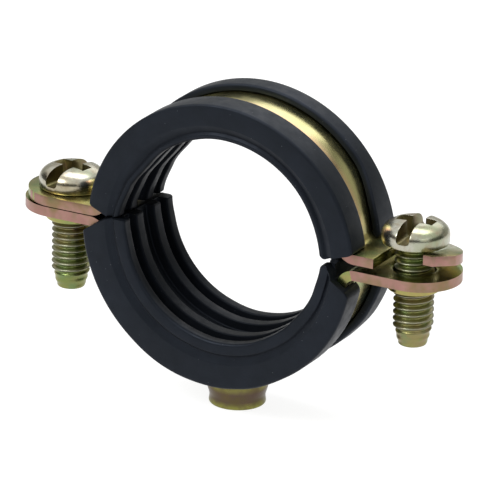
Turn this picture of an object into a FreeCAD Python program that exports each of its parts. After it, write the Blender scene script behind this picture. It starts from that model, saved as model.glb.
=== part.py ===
import FreeCAD, Part
import math
import os
from FreeCAD import Vector

# Rubber lined pipe clamp, in millimetres.
# The origin is on the pipe's axis as the lower half holds it, halfway along the clamp.
# X runs through the two screws, Y along the pipe, Z up, away from the rod boss.

# Steel bands: one strip each, rolled round the pipe and bent out flat into two ears
BAND_INNER_R = 19.4
BAND_THICKNESS = 1.5
BAND_OUTER_R = BAND_INNER_R + BAND_THICKNESS
BAND_WIDTH = 12.6
BEND_INNER_R = 1.5
UPPER_CENTRE_DROP = 1.05

# Clamping screws
THREAD_MAJOR_R = 3.0
THREAD_NECK_R = THREAD_MAJOR_R - 0.4
THREAD_NECK_LENGTH = 0.6
THREAD_TIP_R = THREAD_MAJOR_R - 0.8
THREAD_TIP_LENGTH = 2.0
THREAD_TIP_ROUND = 0.35
SCREW_LENGTH = 15.9
HEAD_R = 5.0
HEAD_HEIGHT = 3.4
HEAD_SIDE_HEIGHT = 1.3
HEAD_FLAT_R = 2.0
SLOT_CUT_WIDTH = 2.1
SLOT_CUT_DEPTH = 2.5
CROSS_ARM_LENGTH = 3.0
CROSS_DEPTH = 2.7
LEFT_SLOT_TURN_DEG = -11.0
RIGHT_SLOT_TURN_DEG = 3.0
HEAD_SEAT_CLEARANCE = 0.05

# Ears: the screws stand clear of the bands' bends
SCREW_BEND_CLEARANCE = 3.35
SCREW_HALF_SPACING = BAND_OUTER_R + BEND_INNER_R + THREAD_MAJOR_R + SCREW_BEND_CLEARANCE
LOWER_EAR_TOP_Z = -0.4
LEFT_EAR_GAP = 0.15
RIGHT_EAR_GAP = 0.95
LOWER_EAR_REACH = BAND_WIDTH / 2 + 0.8
UPPER_LEFT_EAR_REACH = LOWER_EAR_REACH - 0.5
UPPER_RIGHT_EAR_REACH = LOWER_EAR_REACH - 0.1

# Side-open ear: the finger outside the slot stands higher and leans up at the front
SLOT_SCREW_CLEARANCE = 0.6
SLOT_WIDTH = 2 * (THREAD_MAJOR_R + SLOT_SCREW_CLEARANCE)
SLOT_END_Y = 0.2
SLOT_OFFSET_X = -0.05
FINGER_RISE = 0.74
FINGER_LEAN_DEG = 9.5
FINGER_SETBACK = 1.7
FINGER_FRONT_Y = -(BAND_WIDTH / 2 - FINGER_SETBACK)
FINGER_CORNER_R = 0.8

# Rubber linings: one strip each, wrapped round both edges of its band
RUBBER_CLEARANCE = 0.1
LOWER_CREST_R = BAND_INNER_R - 3.9
UPPER_CREST_R = BAND_INNER_R - 2.9
LOWER_LIP_R = BAND_OUTER_R + 1.6
UPPER_LIP_R = BAND_OUTER_R + 1.2
LINING_HALF_WIDTH = BAND_WIDTH / 2 + 0.95
LOWER_LINING_SHIFT_Y = -0.4
UPPER_LINING_SHIFT_Y = 0.15
FRONT_LIP_LENGTH = 4.6
BACK_LIP_LENGTH = 3.5
LIP_EDGE_ROUND = 0.45
RIB_WIDTH = 1.55
RIM_OFFSET = LINING_HALF_WIDTH - 1.1
RIB_OFFSET = 0.4 * RIM_OFFSET
RIB_HEIGHT = 1.4
RIB_DRAFT = 0.2
CREASE_R = BAND_INNER_R - 0.6
CREASE_ROUND = 0.5
GROOVE_R = BAND_INNER_R - 1.8
GROOVE_DEPTH = 0.42
NOSE_ROUND = 0.9

# Lining ends: clear of the ears, with the cheeks and lips cut back round the bends.
# Each cut is a list of (distance outside the rib crests, distance from the end face).
LINING_EAR_CLEARANCE = 0.1
LOWER_LEFT_END_Z = LOWER_EAR_TOP_Z - LINING_EAR_CLEARANCE - 0.05
LOWER_RIGHT_END_Z = LOWER_EAR_TOP_Z - LINING_EAR_CLEARANCE
UPPER_LEFT_END_Z = LOWER_EAR_TOP_Z + LEFT_EAR_GAP + 0.05
UPPER_RIGHT_END_Z = LOWER_EAR_TOP_Z + RIGHT_EAR_GAP + 0.15
LOWER_LEFT_CUT = ((4.5, 0.0), (7.9, 2.6))
LOWER_RIGHT_CUT = ((2.85, 0.0), (3.4, 2.6), (7.9, 5.2))
UPPER_LEFT_CUT = ((2.9, 0.0), (3.8, 0.8), (6.6, 3.4))
UPPER_RIGHT_CUT = ((0.9, 0.0), (6.6, 1.75))

# Holes for the screws: a tapped, drawn collar below, a plain hole above
TAPPED_HOLE_CLEARANCE = 0.05
EAR_HOLE_CLEARANCE = 0.1
COLLAR_ROOT_R = THREAD_MAJOR_R + 1.3
COLLAR_TIP_R = THREAD_MAJOR_R + 0.65
COLLAR_HEIGHT = 1.7
COLLAR_TIP_ROUND = 0.35
COLLAR_ENTRY_ROUND = 0.6

# Threaded boss for the hanging rod, seated on the lower band
BOSS_TOP_R = 4.6
BOSS_WAIST_R = 4.12
BOSS_BULGE_R = 4.32
BOSS_LENGTH = 6.4
BOSS_BOTTOM_Z = -(BAND_OUTER_R + BOSS_LENGTH)
BOSS_WAIST_HEIGHT = 3.0
BOSS_BULGE_HEIGHT = 1.6
BOSS_BOTTOM_ROUND = 1.1
BOSS_THREAD_MINOR_R = 2.5
BOSS_MOUTH_CHAMFER = 0.5
BOSS_PILOT_R = BOSS_THREAD_MINOR_R + 0.9
BOSS_RUBBER_CLEARANCE = 0.25

UPPER_LEFT_EAR_Z = LOWER_EAR_TOP_Z + LEFT_EAR_GAP
UPPER_RIGHT_EAR_Z = LOWER_EAR_TOP_Z + RIGHT_EAR_GAP
SLOT_CENTRE_X = SCREW_HALF_SPACING + SLOT_OFFSET_X
FINGER_START_X = SLOT_CENTRE_X + SLOT_WIDTH / 2 - 0.1
SLOT_INNER_X = SLOT_CENTRE_X - SLOT_WIDTH / 2
Y_AXIS = Vector(0, 1, 0)
Z_AXIS = Vector(0, 0, 1)


def rounded_wire(corners, place):
    """Closed wire through corners (u, v, radius), each corner with a tangent arc of its radius."""
    starts, mids, ends = [], [], []
    count = len(corners)
    for i in range(count):
        u, v, radius = corners[i]
        pu, pv = corners[i - 1][:2]
        nu, nv = corners[(i + 1) % count][:2]
        before = Vector(pu - u, pv - v, 0).normalize()
        after = Vector(nu - u, nv - v, 0).normalize()
        corner = Vector(u, v, 0)
        if radius <= 0:
            starts.append(corner)
            mids.append(None)
            ends.append(corner)
            continue
        half = before.getAngle(after) / 2
        reach = radius / math.tan(half)
        bisector = (before + after).normalize()
        centre = corner + bisector * (radius / math.sin(half))
        starts.append(corner + before * reach)
        mids.append(centre - bisector * radius)
        ends.append(corner + after * reach)
    edges = []
    for i in range(count):
        if mids[i] is not None:
            edges.append(Part.Arc(place(starts[i]), place(mids[i]), place(ends[i])).toShape())
        following = starts[(i + 1) % count]
        if (following - ends[i]).Length > 1e-6:
            edges.append(Part.LineSegment(place(ends[i]), place(following)).toShape())
    return Part.Wire(edges)


def in_xz(point):
    """Places a drawing's (u, v) as (x, z)."""
    return Vector(point.x, 0, point.y)


def in_xy(point):
    """Places a drawing's (u, v) as (x, y)."""
    return Vector(point.x, point.y, 0)


def prism_along_y(corners, half_width):
    """Solid with the given XZ outline, centred on Y = 0."""
    face = Part.Face(rounded_wire(corners, in_xz))
    face.translate(Vector(0, -half_width, 0))
    return face.extrude(Vector(0, 2 * half_width, 0))


def cylinder(radius, x, z_low, z_high, y=0.0):
    """Upright cylinder."""
    return Part.makeCylinder(radius, z_high - z_low, Vector(x, y, z_low), Z_AXIS)


def band_strip(side, centre_z, left_face_z, right_face_z, reach, grow=0.0):
    """Strip rolled round the pipe with a flat ear at each end.

    side is -1 below the pipe and +1 above it. The ears' mating faces are at left_face_z and
    right_face_z. grow thickens the strip all over, for the room that it needs in the rubber.
    """
    inner_r = BAND_INNER_R - grow
    outer_r = BAND_OUTER_R + grow
    fillet_r = BEND_INNER_R - grow
    centre = Vector(0, 0, centre_z)
    inner_points, outer_points = [], []
    for end, face_z in ((-1, left_face_z), (1, right_face_z)):
        back_z = face_z + side * (BAND_THICKNESS + grow)
        near_z = face_z - side * grow
        bend_z = back_z + side * fillet_r
        bend_x = math.sqrt((outer_r + fillet_r) ** 2 - (bend_z - centre_z) ** 2)
        bend = Vector(end * bend_x, 0, bend_z)
        tip_x = end * (SCREW_HALF_SPACING + reach[0 if end < 0 else 1] + grow)
        outward = (bend - centre).normalize()
        middle = (outward + Vector(0, 0, side)).normalize()
        sheet = fillet_r + outer_r - inner_r
        inner_points.append((Vector(tip_x, 0, near_z), bend - Z_AXIS * side * sheet,
                             bend - middle * sheet, bend - outward * sheet))
        outer_points.append((Vector(tip_x, 0, back_z), bend - Z_AXIS * side * fillet_r,
                             bend - middle * fillet_r, bend - outward * fillet_r))
    edges = []
    for points, radius in ((inner_points, inner_r), (outer_points, outer_r)):
        for tip, flat_end, mid, tangent in points:
            edges.append(Part.LineSegment(tip, flat_end).toShape())
            edges.append(Part.Arc(flat_end, mid, tangent).toShape())
        crown = centre + Z_AXIS * side * radius
        edges.append(Part.Arc(points[0][3], crown, points[1][3]).toShape())
    for end in (0, 1):
        edges.append(Part.LineSegment(inner_points[end][0], outer_points[end][0]).toShape())
    face = Part.Face(Part.Wire(Part.__sortEdges__(edges)))
    half_width = BAND_WIDTH / 2 + grow
    face.translate(Vector(0, -half_width, 0))
    return face.extrude(Vector(0, 2 * half_width, 0))


def outside_round_end(end, reach):
    """Everything beyond an ear's full-round end; end is -1 at the left and 1 at the right."""
    half = BAND_WIDTH / 2
    round_x = end * (SCREW_HALF_SPACING + reach - half)
    far = 2 * half
    low_z = -far
    start_x = min(round_x, round_x + end * far)
    box = Part.makeBox(far, 2 * far, 2 * far, Vector(start_x, -far, low_z))
    return box.cut(cylinder(half, round_x, low_z - 1, far + 1))


def tapped_collar(x):
    """Collar drawn down out of the ear, as a solid of revolution about the screw's axis."""
    under_z = LOWER_EAR_TOP_Z - BAND_THICKNESS
    tip_z = under_z - COLLAR_HEIGHT
    root_round = COLLAR_ROOT_R - COLLAR_TIP_R
    corners = [
        (0, under_z + BAND_THICKNESS / 2, 0),
        (COLLAR_ROOT_R + root_round, under_z + BAND_THICKNESS / 2, 0),
        (COLLAR_ROOT_R + root_round, under_z, 0),
        (COLLAR_ROOT_R, under_z, root_round),
        (COLLAR_TIP_R, tip_z, COLLAR_TIP_ROUND),
        (0, tip_z, 0),
    ]
    face = Part.Face(rounded_wire(corners, in_xz))
    collar = face.revolve(Vector(0, 0, 0), Z_AXIS, 360)
    collar.translate(Vector(x, 0, 0))
    return collar


def tapped_hole(x):
    """Hole through ear and collar, with a rounded entry at the top."""
    hole_r = THREAD_MAJOR_R + TAPPED_HOLE_CLEARANCE
    low_z = LOWER_EAR_TOP_Z - BAND_THICKNESS - COLLAR_HEIGHT - 1
    shank = cylinder(hole_r, x, low_z, LOWER_EAR_TOP_Z + 1)
    mouth = Part.makeCylinder(hole_r + COLLAR_ENTRY_ROUND, COLLAR_ENTRY_ROUND + 1,
                              Vector(x, 0, LOWER_EAR_TOP_Z - COLLAR_ENTRY_ROUND), Z_AXIS)
    ring = Part.makeTorus(hole_r + COLLAR_ENTRY_ROUND, COLLAR_ENTRY_ROUND,
                          Vector(x, 0, LOWER_EAR_TOP_Z - COLLAR_ENTRY_ROUND), Z_AXIS)
    return shank.fuse(mouth.cut(ring))


def lower_band():
    """Lower half band with two tapped ears and the boss's pilot hole."""
    reach = (LOWER_EAR_REACH, LOWER_EAR_REACH)
    band = band_strip(-1, 0.0, LOWER_EAR_TOP_Z, LOWER_EAR_TOP_Z, reach)
    band = band.cut(outside_round_end(-1, LOWER_EAR_REACH))
    band = band.cut(outside_round_end(1, LOWER_EAR_REACH))
    for x in (-SCREW_HALF_SPACING, SCREW_HALF_SPACING):
        band = band.fuse(tapped_collar(x)).cut(tapped_hole(x))
    band = band.cut(cylinder(BOSS_PILOT_R, 0, -BAND_OUTER_R - 1, -BAND_INNER_R + 1))
    return band.removeSplitter()


def leaning_finger():
    """Part of the side-open ear beyond the slot's inner edge: it twists up towards the front."""
    half = BAND_WIDTH / 2
    low = UPPER_RIGHT_EAR_Z
    high = low + BAND_THICKNESS
    section = [Vector(0, -half, low), Vector(0, half, low), Vector(0, half, high), Vector(0, -half, high)]
    root = Part.makePolygon(section + section[:1])
    lean = root.copy()
    lean.rotate(Vector(0, 0, (low + high) / 2), Vector(1, 0, 0), -FINGER_LEAN_DEG)
    root.translate(Vector(SLOT_INNER_X, 0, 0))
    lean.translate(Vector(FINGER_START_X, 0, FINGER_RISE))
    tip_x = SCREW_HALF_SPACING + UPPER_RIGHT_EAR_REACH
    twist = Part.makeLoft([root, lean], True, True)
    blade = Part.Face(lean).extrude(Vector(tip_x - FINGER_START_X, 0, 0))
    return twist.fuse(blade)


def outside_finger():
    """Everything in front of and outside the finger's own outline."""
    far = 2 * BAND_WIDTH
    half = BAND_WIDTH / 2
    tip_x = SCREW_HALF_SPACING + UPPER_RIGHT_EAR_REACH
    round_x = tip_x - half
    edge_x = round_x + math.sqrt(half ** 2 - FINGER_FRONT_Y ** 2)
    start_x = SLOT_CENTRE_X
    corners = [(start_x, FINGER_FRONT_Y, 0), (edge_x, FINGER_FRONT_Y, FINGER_CORNER_R),
               (tip_x + 0.4, 0, 0), (tip_x + half, 0, 0), (tip_x + half, -far, 0), (start_x, -far, 0)]
    face = Part.Face(rounded_wire(corners, in_xy))
    face.translate(Vector(0, 0, -half))
    return face.extrude(Vector(0, 0, 2 * half))


def side_slot():
    """Room for the screw in the side-open ear, open to the front."""
    half = SLOT_WIDTH / 2
    height = 4 * BAND_THICKNESS
    low_z = UPPER_RIGHT_EAR_Z - BAND_THICKNESS
    run = BAND_WIDTH
    box = Part.makeBox(SLOT_WIDTH, run, height + FINGER_RISE,
                       Vector(SLOT_CENTRE_X - half, SLOT_END_Y - run, low_z))
    end = cylinder(half, SLOT_CENTRE_X, low_z, low_z + height + FINGER_RISE, SLOT_END_Y)
    return box.fuse(end)


def upper_band():
    """Upper half band: a closed hole in the left ear, a side-open slot in the right one."""
    root_reach = SLOT_INNER_X - SCREW_HALF_SPACING
    band = band_strip(1, -UPPER_CENTRE_DROP, UPPER_LEFT_EAR_Z, UPPER_RIGHT_EAR_Z,
                      (UPPER_LEFT_EAR_REACH, root_reach))
    finger = leaning_finger().cut(outside_round_end(1, UPPER_RIGHT_EAR_REACH)).cut(outside_finger())
    band = band.cut(outside_round_end(-1, UPPER_LEFT_EAR_REACH)).fuse(finger)
    hole_r = THREAD_MAJOR_R + EAR_HOLE_CLEARANCE
    band = band.cut(cylinder(hole_r, -SCREW_HALF_SPACING, UPPER_LEFT_EAR_Z - 1,
                             UPPER_LEFT_EAR_Z + BAND_THICKNESS + 1))
    return band.cut(side_slot()).removeSplitter()


def lining_section(crest_r, lip_r):
    """Section of a lining in (radius, y): lips outside, flat cheeks, four ribs inside."""
    half = LINING_HALF_WIDTH
    floor_r = crest_r + RIB_HEIGHT
    reach = RIB_WIDTH / 2
    sides = []
    for lip_length in (BACK_LIP_LENGTH, FRONT_LIP_LENGTH):
        lip_edge = half - lip_length
        sides.append([
            ((BAND_INNER_R + BAND_OUTER_R) / 2, lip_edge, 0),
            (lip_r, lip_edge, LIP_EDGE_ROUND),
            (lip_r, half, LIP_EDGE_ROUND),
            (CREASE_R, half, CREASE_ROUND),
            (GROOVE_R, half - GROOVE_DEPTH, 0),
            (crest_r, RIM_OFFSET + reach, NOSE_ROUND),
            (crest_r, RIM_OFFSET - reach, 0),
            (floor_r, RIM_OFFSET - reach - RIB_DRAFT, 0),
            (floor_r, RIB_OFFSET + reach + RIB_DRAFT, 0),
            (crest_r, RIB_OFFSET + reach, 0),
            (crest_r, RIB_OFFSET - reach, 0),
            (floor_r, RIB_OFFSET - reach - RIB_DRAFT, 0),
        ])
    back, front = sides
    front = [(r, -y, radius) for r, y, radius in reversed(front)]
    return Part.Face(rounded_wire(back + front, in_xy))


def end_region(side, crest_r, left_z, right_z, left_cut, right_cut, centre_z):
    """XZ region that a lining fills: everything beyond its two end faces."""
    far = 2 * BAND_OUTER_R
    right = [(crest_r + out, right_z + side * rise, 0) for out, rise in right_cut]
    left = [(-crest_r - out, left_z + side * rise, 0) for out, rise in left_cut]
    corners = [(0, left_z, 0), (0, right_z, 0)] if abs(left_z - right_z) > 0.01 else []
    corners = corners + right
    corners = corners + [(far, right[-1][1], 0), (far, centre_z + side * far, 0)]
    corners = corners + [(-far, centre_z + side * far, 0), (-far, left[-1][1], 0)]
    corners = corners + list(reversed(left))
    return prism_along_y(corners, 2 * LINING_HALF_WIDTH)


def lining(side, centre, crest_r, lip_r, ends_z, cuts, band_room):
    """Lining on one band, with the band's room cut out of it."""
    ring = lining_section(crest_r, lip_r).revolve(Vector(0, 0, 0), Y_AXIS, 360)
    ring.translate(centre)
    rubber = ring.common(end_region(side, crest_r, ends_z[0], ends_z[1], cuts[0], cuts[1], centre.z))
    return rubber.cut(band_room)


def lower_lining():
    """Lower lining, opened round the rod boss."""
    reach = (LOWER_EAR_REACH, LOWER_EAR_REACH)
    room = band_strip(-1, 0.0, LOWER_EAR_TOP_Z, LOWER_EAR_TOP_Z, reach, RUBBER_CLEARANCE)
    rubber = lining(-1, Vector(0, LOWER_LINING_SHIFT_Y, 0), LOWER_CREST_R, LOWER_LIP_R,
                    (LOWER_LEFT_END_Z, LOWER_RIGHT_END_Z), (LOWER_LEFT_CUT, LOWER_RIGHT_CUT), room)
    hole_r = BOSS_TOP_R + BOSS_RUBBER_CLEARANCE
    return rubber.cut(cylinder(hole_r, 0, -2 * BAND_OUTER_R, -BAND_INNER_R))


def upper_lining():
    """Upper lining."""
    centre_z = -UPPER_CENTRE_DROP
    reach = (UPPER_LEFT_EAR_REACH, UPPER_RIGHT_EAR_REACH)
    room = band_strip(1, centre_z, UPPER_LEFT_EAR_Z, UPPER_RIGHT_EAR_Z, reach, RUBBER_CLEARANCE)
    return lining(1, Vector(0, UPPER_LINING_SHIFT_Y, centre_z), UPPER_CREST_R, UPPER_LIP_R,
                  (UPPER_LEFT_END_Z, UPPER_RIGHT_END_Z), (UPPER_LEFT_CUT, UPPER_RIGHT_CUT), room)


def screw(x, seat_z, turn_deg):
    """Pan head screw with a combined slot and cross recess; seat_z is under its head."""
    tip_z = -SCREW_LENGTH
    profile = [
        Part.LineSegment(Vector(0, 0, tip_z), Vector(THREAD_TIP_R - THREAD_TIP_ROUND, 0, tip_z)),
        Part.Arc(Vector(THREAD_TIP_R - THREAD_TIP_ROUND, 0, tip_z),
                 Vector(THREAD_TIP_R - 0.3 * THREAD_TIP_ROUND, 0, tip_z + 0.3 * THREAD_TIP_ROUND),
                 Vector(THREAD_TIP_R, 0, tip_z + THREAD_TIP_ROUND)),
        Part.LineSegment(Vector(THREAD_TIP_R, 0, tip_z + THREAD_TIP_ROUND),
                         Vector(THREAD_MAJOR_R, 0, tip_z + THREAD_TIP_LENGTH)),
        Part.LineSegment(Vector(THREAD_MAJOR_R, 0, tip_z + THREAD_TIP_LENGTH),
                         Vector(THREAD_MAJOR_R, 0, -THREAD_NECK_LENGTH)),
        Part.LineSegment(Vector(THREAD_MAJOR_R, 0, -THREAD_NECK_LENGTH),
                         Vector(THREAD_NECK_R, 0, -THREAD_NECK_LENGTH / 2)),
        Part.LineSegment(Vector(THREAD_NECK_R, 0, -THREAD_NECK_LENGTH / 2), Vector(THREAD_NECK_R, 0, 0)),
        Part.LineSegment(Vector(THREAD_NECK_R, 0, 0), Vector(HEAD_R, 0, 0)),
        Part.LineSegment(Vector(HEAD_R, 0, 0), Vector(HEAD_R, 0, HEAD_SIDE_HEIGHT)),
        Part.Arc(Vector(HEAD_R, 0, HEAD_SIDE_HEIGHT),
                 Vector(HEAD_FLAT_R + 0.74 * (HEAD_R - HEAD_FLAT_R), 0,
                        HEAD_SIDE_HEIGHT + 0.7 * (HEAD_HEIGHT - HEAD_SIDE_HEIGHT)),
                 Vector(HEAD_FLAT_R, 0, HEAD_HEIGHT)),
        Part.LineSegment(Vector(HEAD_FLAT_R, 0, HEAD_HEIGHT), Vector(0, 0, HEAD_HEIGHT)),
        Part.LineSegment(Vector(0, 0, HEAD_HEIGHT), Vector(0, 0, tip_z)),
    ]
    face = Part.Face(Part.Wire([edge.toShape() for edge in profile]))
    body = face.revolve(Vector(0, 0, 0), Z_AXIS, 360)
    slot = Part.makeBox(SLOT_CUT_WIDTH, 4 * HEAD_R, 2 * SLOT_CUT_DEPTH,
                        Vector(-SLOT_CUT_WIDTH / 2, -2 * HEAD_R, HEAD_HEIGHT - SLOT_CUT_DEPTH))
    cross = Part.makeBox(2 * CROSS_ARM_LENGTH, SLOT_CUT_WIDTH, 2 * CROSS_DEPTH,
                         Vector(-CROSS_ARM_LENGTH, -SLOT_CUT_WIDTH / 2, HEAD_HEIGHT - CROSS_DEPTH))
    body = body.cut(slot).cut(cross)
    body.rotate(Vector(0, 0, 0), Z_AXIS, turn_deg)
    body.translate(Vector(x, 0, seat_z))
    return body


def left_screw():
    """Screw in the closed ear: the upper half swings round it."""
    seat_z = UPPER_LEFT_EAR_Z + BAND_THICKNESS + HEAD_SEAT_CLEARANCE
    return screw(-SCREW_HALF_SPACING, seat_z, LEFT_SLOT_TURN_DEG)


def right_screw():
    """Screw in the side-open ear: its head just clears the raised finger's front corner."""
    lean = math.radians(FINGER_LEAN_DEG)
    middle_z = UPPER_RIGHT_EAR_Z + FINGER_RISE + BAND_THICKNESS / 2
    seat_z = middle_z - FINGER_FRONT_Y * math.tan(lean) + BAND_THICKNESS / 2 / math.cos(lean)
    return screw(SCREW_HALF_SPACING, seat_z + HEAD_SEAT_CLEARANCE, RIGHT_SLOT_TURN_DEG)


def rod_boss():
    """Turned, internally threaded boss, saddled on the lower band's outside."""
    top_z = -BAND_INNER_R
    corners = [
        (BOSS_THREAD_MINOR_R, top_z, 0),
        (BOSS_TOP_R, top_z, 0),
        (BOSS_TOP_R, BOSS_BOTTOM_Z + BOSS_WAIST_HEIGHT + 1.6, 0.5),
        (BOSS_WAIST_R, BOSS_BOTTOM_Z + BOSS_WAIST_HEIGHT, 1.2),
        (BOSS_BULGE_R, BOSS_BOTTOM_Z + BOSS_BULGE_HEIGHT, 0.6),
        (BOSS_BULGE_R - 0.1, BOSS_BOTTOM_Z, BOSS_BOTTOM_ROUND),
        (BOSS_THREAD_MINOR_R + BOSS_MOUTH_CHAMFER, BOSS_BOTTOM_Z, 0),
        (BOSS_THREAD_MINOR_R, BOSS_BOTTOM_Z + BOSS_MOUTH_CHAMFER, 0),
    ]
    body = Part.Face(rounded_wire(corners, in_xz)).revolve(Vector(0, 0, 0), Z_AXIS, 360)
    saddle = Part.makeCylinder(BAND_OUTER_R, 4 * BAND_WIDTH, Vector(0, -2 * BAND_WIDTH, 0), Y_AXIS)
    pilot = cylinder(BOSS_PILOT_R, 0, -BAND_OUTER_R - 1, -BAND_INNER_R)
    bore = cylinder(BOSS_THREAD_MINOR_R, 0, -BAND_OUTER_R - 2, 0)
    hollow = Part.makeCylinder(BAND_INNER_R, 4 * BAND_WIDTH, Vector(0, -2 * BAND_WIDTH, 0), Y_AXIS)
    return body.cut(saddle).fuse(pilot.cut(hollow).cut(bore)).removeSplitter()


def build():
    """Writes one STEP file for each piece."""
    os.makedirs("parts", exist_ok=True)
    pieces = {
        "lower_band": lower_band(),
        "upper_band": upper_band(),
        "lower_lining": lower_lining(),
        "upper_lining": upper_lining(),
        "left_screw": left_screw(),
        "right_screw": right_screw(),
        "rod_boss": rod_boss(),
    }
    for name, shape in pieces.items():
        if len(shape.Solids) == 1:
            shape = shape.Solids[0]
        box = shape.optimalBoundingBox()
        print(name, "solids", len(shape.Solids), "valid", shape.isValid(), "volume", round(shape.Volume, 2),
              "x", round(box.XMin, 2), round(box.XMax, 2), "y", round(box.YMin, 2), round(box.YMax, 2),
              "z", round(box.ZMin, 2), round(box.ZMax, 2))
        shape.exportStep("parts/" + name + ".step")


build()
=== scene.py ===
import math

import bmesh
import bpy
from mathutils import Matrix, Vector


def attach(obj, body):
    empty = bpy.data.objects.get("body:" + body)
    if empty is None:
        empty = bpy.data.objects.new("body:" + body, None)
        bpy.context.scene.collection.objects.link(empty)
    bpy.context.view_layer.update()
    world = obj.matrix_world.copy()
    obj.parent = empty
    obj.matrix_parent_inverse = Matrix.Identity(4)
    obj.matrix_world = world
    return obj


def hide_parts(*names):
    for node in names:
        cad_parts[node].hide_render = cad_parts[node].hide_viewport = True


# Rubber lined pipe clamp. Sizes are in millimetres until a mesh is made.
# The frame is the solids' own: X through the screws, Y along the pipe, Z up.

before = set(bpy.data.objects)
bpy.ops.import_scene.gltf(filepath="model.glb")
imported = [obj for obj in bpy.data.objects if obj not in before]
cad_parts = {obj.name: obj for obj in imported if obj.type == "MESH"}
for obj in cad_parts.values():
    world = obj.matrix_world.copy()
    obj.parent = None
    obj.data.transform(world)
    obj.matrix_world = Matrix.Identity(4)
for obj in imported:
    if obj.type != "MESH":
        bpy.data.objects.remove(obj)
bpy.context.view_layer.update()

MM = 0.001
TURN = 2 * math.pi

# Clamping screws
THREAD_PITCH = 1.0
THREAD_MAJOR_R = 3.0
THREAD_ROOT_R = 2.46
THREAD_CREST_SHARE = 0.14
THREAD_ROOT_SHARE = 0.2
THREAD_RUNOUT = 0.5
THREAD_NECK_R = 2.6
THREAD_NECK_LENGTH = 0.6
NECK_FLARE = 0.25
NECK_SINK = 0.4
SCREW_LENGTH = 15.9
HEAD_R = 5.0
HEAD_HEIGHT = 3.4
HEAD_SIDE_HEIGHT = 1.3
HEAD_FLAT_R = 1.9
HEAD_FOOT_ROUND = 0.25
HEAD_FOOT_MIDDLE = (0.06, 0.07)
HEAD_CROWN_RISE = 0.05
HEAD_EDGE_ROUND = 0.2
SLOT_CUT_WIDTH = 2.1
SLOT_CUT_DEPTH = 2.5
SLOT_CUT_ROUND = 0.55
CROSS_ARM_LENGTH = 3.0
CROSS_DEPTH = 2.7
CROSS_FOOT = (1.2, 0.8)
LEFT_SLOT_TURN = math.radians(-11.0)
RIGHT_SLOT_TURN = math.radians(3.0)
HEAD_SEAT_CLEARANCE = 0.05

# The screws' ends taper and their thread fades: (distance from the end, radius of the crests)
THREAD_TIP = ((0.0, 2.12), (1.7, 2.5), (3.3, THREAD_MAJOR_R), (SCREW_LENGTH, THREAD_MAJOR_R))
THREAD_TIP_DEPTH = 0.07
TIP_ROUND = 0.3

# Steel bands
BAND_INNER_R = 19.4
BAND_THICKNESS = 1.5
BAND_OUTER_R = BAND_INNER_R + BAND_THICKNESS
BAND_HALF_WIDTH = 6.3
BEND_INNER_R = 1.5
UPPER_CENTRE_DROP = 1.05
SHEARED_EDGE_ROUND = 0.14

# Ears; a pair of values is for the left and the right one
SCREW_BEND_CLEARANCE = 3.35
SCREW_HALF_SPACING = BAND_OUTER_R + BEND_INNER_R + THREAD_MAJOR_R + SCREW_BEND_CLEARANCE
LOWER_EAR_Z = -0.4
UPPER_LEFT_EAR_Z = LOWER_EAR_Z + 0.15
UPPER_RIGHT_EAR_Z = LOWER_EAR_Z + 0.95
LOWER_REACH = (BAND_HALF_WIDTH + 0.8, BAND_HALF_WIDTH + 0.8)
UPPER_REACH = (BAND_HALF_WIDTH + 0.3, BAND_HALF_WIDTH + 0.7)
EAR_START_X = 25.0

# Stretches of the ears' edges, from x to x, that keep the sheet's finish; round the lower band's bend this
# yellower finish is a painted highlight
LOWER_HIGHLIGHT_EDGE = (15.0, 21.4)
UPPER_SHEET_EDGE = (-36.0, -33.4)

# Side-open ear: the finger outside the slot stands higher and leans up at the front
SLOT_SCREW_CLEARANCE = 0.6
SLOT_WIDTH = 2 * (THREAD_MAJOR_R + SLOT_SCREW_CLEARANCE)
SLOT_END_Y = 0.2
SLOT_CENTRE_X = SCREW_HALF_SPACING - 0.05
FINGER_RISE = 0.74
FINGER_LEAN = math.tan(math.radians(9.5))
FINGER_FRONT_Y = 1.7 - BAND_HALF_WIDTH
FINGER_CORNER_X = 33.75
FINGER_SIDE_X = 36.2

# Undersides of the heads
LEFT_SEAT_Z = UPPER_LEFT_EAR_Z + BAND_THICKNESS + HEAD_SEAT_CLEARANCE
FINGER_MIDDLE_Z = UPPER_RIGHT_EAR_Z + FINGER_RISE + BAND_THICKNESS / 2
RIGHT_SEAT_Z = round(FINGER_MIDDLE_Z - FINGER_FRONT_Y * FINGER_LEAN
                     + BAND_THICKNESS / 2 * math.hypot(1, FINGER_LEAN) + HEAD_SEAT_CLEARANCE, 2)

# Holes for the screws: a tapped, drawn collar below, a plain hole above
TAPPED_HOLE_R = THREAD_MAJOR_R + 0.05
EAR_HOLE_R = THREAD_MAJOR_R + 0.1
HOLE_ENTRY_ROUND = 0.65
COLLAR_HEIGHT = 1.7
COLLAR_SPREAD_R = 5.4
COLLAR_ROOT_R = 4.3
COLLAR_ROOT_ROUND = 0.45
COLLAR_TIP_R = 4.0
COLLAR_TIP_ROUND = 0.28
COLLAR_TIP_LAND = 0.45

# Rubber linings
RUBBER_CLEARANCE = 0.1
SEAT_R = BAND_OUTER_R + RUBBER_CLEARANCE
LOWER_CREST_R = BAND_INNER_R - 3.9
UPPER_CREST_R = BAND_INNER_R - 2.9
LOWER_LIP_R = BAND_OUTER_R + 1.6
UPPER_LIP_R = BAND_OUTER_R + 1.2
LINING_HALF_WIDTH = BAND_HALF_WIDTH + 0.95
LOWER_SHIFT_Y = -0.4
UPPER_SHIFT_Y = 0.15
FRONT_LIP_LENGTH = 4.6
BACK_LIP_LENGTH = 3.5
LIP_EDGE_ROUND = 0.45
LIP_FOOT_ROUND = 0.2
SEAT_ROUND = 0.1
RIM_OFFSET = LINING_HALF_WIDTH - 1.1
RIM_OUTER_ROUND = 0.5
RIM_INNER_ROUND = 0.3
RIB_OFFSET = 0.4 * RIM_OFFSET
RIB_WIDTH = 1.8
RIB_HEIGHT = 1.4
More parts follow.
